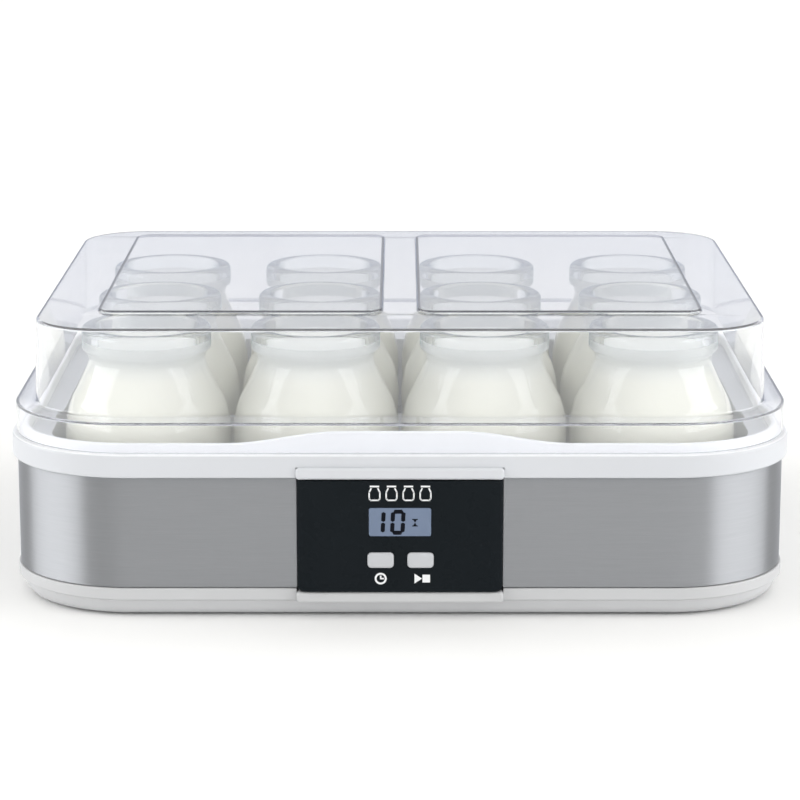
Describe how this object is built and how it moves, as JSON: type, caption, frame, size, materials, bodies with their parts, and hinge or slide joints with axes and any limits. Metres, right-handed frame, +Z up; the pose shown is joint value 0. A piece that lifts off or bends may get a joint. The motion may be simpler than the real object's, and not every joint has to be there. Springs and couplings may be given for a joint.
{
  "type": "yogurt maker",
  "caption": "Countertop yogurt maker: warming base with steel band, control panel and display, glass jars in a well, and a clear lift-off lid.",
  "frame": {"origin": "centre of the overall box at the height of the worktop that the feet rest on", "axes": "+X to the right seen from the front, -Y the side with the control panel, +Z up"},
  "size_m": [0.332, 0.28, 0.1222],
  "materials": {
    "white_plastic": "satin white moulding",
    "grey_plastic": "light grey moulding",
    "button_plastic": "satin grey key",
    "black_plastic": "smooth black moulding",
    "brushed_steel": "brushed along the band",
    "clear_plastic": "clear, polished",
    "jar_glass": "clear glass",
    "yogurt": "set yogurt, smooth and moist",
    "screen_glass": "blue-grey display window",
    "aluminium_sheet": "plain sheet",
    "heater_sleeve": "silicone sleeve",
    "fuse_body": "plain",
    "sensor_body": "epoxy bead",
    "circuit_board": "green solder mask",
    "relay_case": "blue case",
    "ribbon_sleeve": "grey cable",
    "rubber": "matt rubber",
    "screw_steel": "zinc plated"
  },
  "bodies": {
    "base": {"base_housing": "white_plastic", "steel_band": "brushed_steel", "bottom_cover": "grey_plastic", "heating_tray": "aluminium_sheet", "heating_element": "heater_sleeve", "heat_shield": "aluminium_sheet", "thermal_fuse": "fuse_body", "temperature_sensor": "sensor_body", "power_board": "circuit_board", "relay": "relay_case", "transformer": "black_plastic", "capacitor": "black_plastic", "control_board": "circuit_board", "lcd_module": "grey_plastic", "lcd_window": "screen_glass", "control_fascia": "black_plastic", "panel_trim_upper": "white_plastic", "panel_trim_lower": "white_plastic", "time_switch": "black_plastic", "start_stop_switch": "black_plastic", "ribbon_cable": "ribbon_sleeve", "cord_gland": "rubber", "screw_1": "screw_steel", "screw_2": "screw_steel", "screw_3": "screw_steel", "screw_4": "screw_steel", "foot_1": "rubber", "foot_2": "rubber", "foot_3": "rubber", "foot_4": "rubber"},
    "lid": {"lid": "clear_plastic"},
    "time_key": {"time_button": "button_plastic", "time_plunger": "button_plastic"},
    "start_stop_key": {"start_stop_button": "button_plastic", "start_stop_plunger": "button_plastic"},
    "jar_01": {"jar_01": "jar_glass", "yogurt_01": "yogurt"},
    "jar_02": {"jar_02": "jar_glass", "yogurt_02": "yogurt"},
    "jar_03": {"jar_03": "jar_glass", "yogurt_03": "yogurt"},
    "jar_04": {"jar_04": "jar_glass", "yogurt_04": "yogurt"},
    "jar_05": {"jar_05": "jar_glass", "yogurt_05": "yogurt"},
    "jar_06": {"jar_06": "jar_glass", "yogurt_06": "yogurt"},
    "jar_07": {"jar_07": "jar_glass", "yogurt_07": "yogurt"},
    "jar_08": {"jar_08": "jar_glass", "yogurt_08": "yogurt"},
    "jar_09": {"jar_09": "jar_glass", "yogurt_09": "yogurt"},
    "jar_10": {"jar_10": "jar_glass", "yogurt_10": "yogurt"},
    "jar_11": {"jar_11": "jar_glass", "yogurt_11": "yogurt"},
    "jar_12": {"jar_12": "jar_glass", "yogurt_12": "yogurt"}
  },
  "joints": [
    {"name": "lid_lift", "type": "slide", "parent": "base", "child": "lid", "axis": [0, 0, 1], "range_m": [0, 0.2]},
    {"name": "time_press", "type": "slide", "parent": "base", "child": "time_key", "axis": [0, 1, 0], "range_m": [0, 0.0008], "stiffness_N_per_m": 600, "springref_m": -0.0008},
    {"name": "start_stop_press", "type": "slide", "parent": "base", "child": "start_stop_key", "axis": [0, 1, 0], "range_m": [0, 0.0008], "stiffness_N_per_m": 600, "springref_m": -0.0008},
    {"name": "jar_01_lift", "type": "slide", "parent": "base", "child": "jar_01", "axis": [0, 0, 1], "range_m": [0, 0.005]},
    {"name": "jar_02_lift", "type": "slide", "parent": "base", "child": "jar_02", "axis": [0, 0, 1], "range_m": [0, 0.005]},
    {"name": "jar_03_lift", "type": "slide", "parent": "base", "child": "jar_03", "axis": [0, 0, 1], "range_m": [0, 0.005]},
    {"name": "jar_04_lift", "type": "slide", "parent": "base", "child": "jar_04", "axis": [0, 0, 1], "range_m": [0, 0.005]},
    {"name": "jar_05_lift", "type": "slide", "parent": "base", "child": "jar_05", "axis": [0, 0, 1], "range_m": [0, 0.005]},
    {"name": "jar_06_lift", "type": "slide", "parent": "base", "child": "jar_06", "axis": [0, 0, 1], "range_m": [0, 0.005]},
    {"name": "jar_07_lift", "type": "slide", "parent": "base", "child": "jar_07", "axis": [0, 0, 1], "range_m": [0, 0.005]},
    {"name": "jar_08_lift", "type": "slide", "parent": "base", "child": "jar_08", "axis": [0, 0, 1], "range_m": [0, 0.005]},
    {"name": "jar_09_lift", "type": "slide", "parent": "base", "child": "jar_09", "axis": [0, 0, 1], "range_m": [0, 0.005]},
    {"name": "jar_10_lift", "type": "slide", "parent": "base", "child": "jar_10", "axis": [0, 0, 1], "range_m": [0, 0.005]},
    {"name": "jar_11_lift", "type": "slide", "parent": "base", "child": "jar_11", "axis": [0, 0, 1], "range_m": [0, 0.005]},
    {"name": "jar_12_lift", "type": "slide", "parent": "base", "child": "jar_12", "axis": [0, 0, 1], "range_m": [0, 0.005]}
  ]
}
